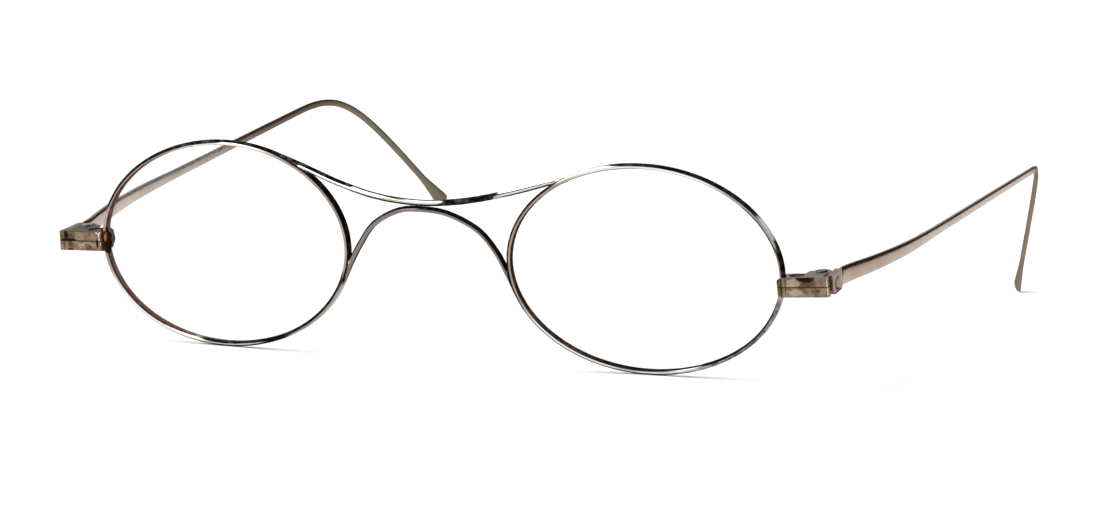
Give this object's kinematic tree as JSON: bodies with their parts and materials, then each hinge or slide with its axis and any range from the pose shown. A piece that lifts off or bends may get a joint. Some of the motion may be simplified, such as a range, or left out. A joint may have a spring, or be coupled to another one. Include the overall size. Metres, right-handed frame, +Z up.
{
  "type": "spectacles",
  "caption": "Wire spectacles with oval grooved rims, a crossed wire bridge, clear flat lenses and folding temples with bent-down ends, held on the nose and behind the ears.",
  "frame": {"origin": "on the table, under the middle of the box round the open spectacles as they stand on both rims and one temple tip", "axes": "+X to the right as seen from the front, +Y backwards along the open temples, +Z up; the lenses face -Y"},
  "size_m": [0.1144, 0.1228, 0.0277],
  "materials": {
    "polished_steel": "old polished steel, warm grey, with rust left in the grooves",
    "stained_steel": "worn steel with brown stains and small pits",
    "dark_steel": "darkened steel screws",
    "clear_glass": "clear flat glass with a bevelled edge"
  },
  "bodies": {
    "front": {"bridge_wire": "polished_steel", "nose_arch": "polished_steel", "left_eyewire": "polished_steel", "left_lens": "clear_glass", "left_upper_end_piece": "stained_steel", "left_lower_end_piece": "stained_steel", "left_closing_screw": "dark_steel", "left_hinge_screw": "dark_steel", "right_eyewire": "polished_steel", "right_lens": "clear_glass", "right_upper_end_piece": "stained_steel", "right_lower_end_piece": "stained_steel", "right_closing_screw": "dark_steel", "right_hinge_screw": "dark_steel"},
    "left_temple_arm": {"left_knuckle": "stained_steel", "left_temple": "polished_steel"},
    "right_temple_arm": {"right_knuckle": "stained_steel", "right_temple": "polished_steel"}
  },
  "joints": [
    {"name": "left_temple_fold", "type": "hinge", "parent": "front", "child": "left_temple_arm", "pos_m": [-0.05084, -0.05109, 0.01321], "axis": [0.0332, 0.109, -0.9935], "range_deg": [0, 90]},
    {"name": "right_temple_fold", "type": "hinge", "parent": "front", "child": "right_temple_arm", "pos_m": [0.05426, -0.05109, 0.01316], "axis": [-0.0628, -0.1089, 0.9921], "range_deg": [-6.1, 88]}
  ]
}
